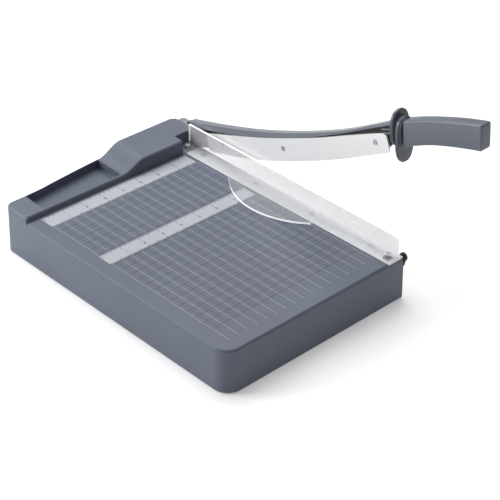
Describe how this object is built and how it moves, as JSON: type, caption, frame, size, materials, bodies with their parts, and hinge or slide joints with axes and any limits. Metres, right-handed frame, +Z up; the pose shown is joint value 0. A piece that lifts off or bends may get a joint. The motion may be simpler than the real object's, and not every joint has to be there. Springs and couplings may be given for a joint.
{
  "type": "guillotine paper cutter",
  "caption": "Desktop guillotine paper cutter: moulded ruled base with pencil tray, steel cutting strip, clear sprung guard and a curved hinged blade arm with a guarded grip.",
  "frame": {"origin": "centre of the underside of the bottom cover; the feet stand 1.5 mm below it", "axes": "+X towards the blade side, +Y towards the back where the arm hinges, +Z up"},
  "size_m": [0.2663, 0.4591, 0.2413],
  "materials": {
    "base_plastic": "fine satin texture, blue-grey",
    "cover_plastic": "fine matte texture",
    "arm_plastic": "satin, blue-grey",
    "arm_black": "black satin paint",
    "black_rubber": "matte",
    "strip_steel": "ground",
    "blade_steel": "fine ground",
    "zinc_steel": "zinc plated",
    "spring_steel": "drawn wire",
    "bush_brass": "turned",
    "clear_acrylic": "clear polished acrylic"
  },
  "bodies": {
    "base": {"base_housing": "base_plastic", "bottom_cover": "cover_plastic", "cover_screw_1": "zinc_steel", "cover_screw_2": "zinc_steel", "cover_screw_3": "zinc_steel", "cover_screw_4": "zinc_steel", "cover_screw_5": "zinc_steel", "cover_screw_6": "zinc_steel", "rubber_foot_front_left": "black_rubber", "rubber_foot_front_right": "black_rubber", "rubber_foot_rear_left": "black_rubber", "rubber_foot_rear_right": "black_rubber", "cutting_strip": "strip_steel", "strip_screw_1": "zinc_steel", "strip_screw_2": "zinc_steel", "strip_screw_3": "zinc_steel", "strip_screw_4": "zinc_steel", "guard_screw_front": "zinc_steel", "guard_screw_rear": "zinc_steel", "guard_spring_front": "spring_steel", "guard_spring_rear": "spring_steel", "arm_stop_bumper": "black_rubber", "arm_stop_screw": "zinc_steel", "pivot_bracket": "zinc_steel", "pivot_bolt": "zinc_steel", "pivot_spacer": "zinc_steel", "pivot_washer_outer": "zinc_steel", "pivot_washer_inner": "zinc_steel", "pivot_washer_nut": "zinc_steel", "pivot_spring": "spring_steel", "pivot_lock_nut": "zinc_steel"},
    "arm": {"pivot_bush": "bush_brass", "arm_core": "arm_black", "arm_cap": "arm_plastic", "blade": "blade_steel", "blade_screw_1": "zinc_steel", "blade_screw_2": "zinc_steel", "blade_screw_3": "zinc_steel", "hand_guard": "arm_plastic", "grip": "arm_plastic", "grip_screw_1": "zinc_steel", "grip_screw_2": "zinc_steel"},
    "guard": {"clear_guard": "clear_acrylic"}
  },
  "joints": [
    {"name": "arm_hinge", "type": "hinge", "parent": "base", "child": "arm", "pos_m": [0.1288, 0.1665, 0.0515], "axis": [-1, 0, 0], "range_deg": [-20, 45]},
    {"name": "guard_press", "type": "slide", "parent": "base", "child": "guard", "axis": [0, 0, 1], "range_m": [-0.0011, 0], "stiffness_N_per_m": 1500, "springref_m": 0.002, "deforming": ["guard_spring_front", "guard_spring_rear"]}
  ]
}
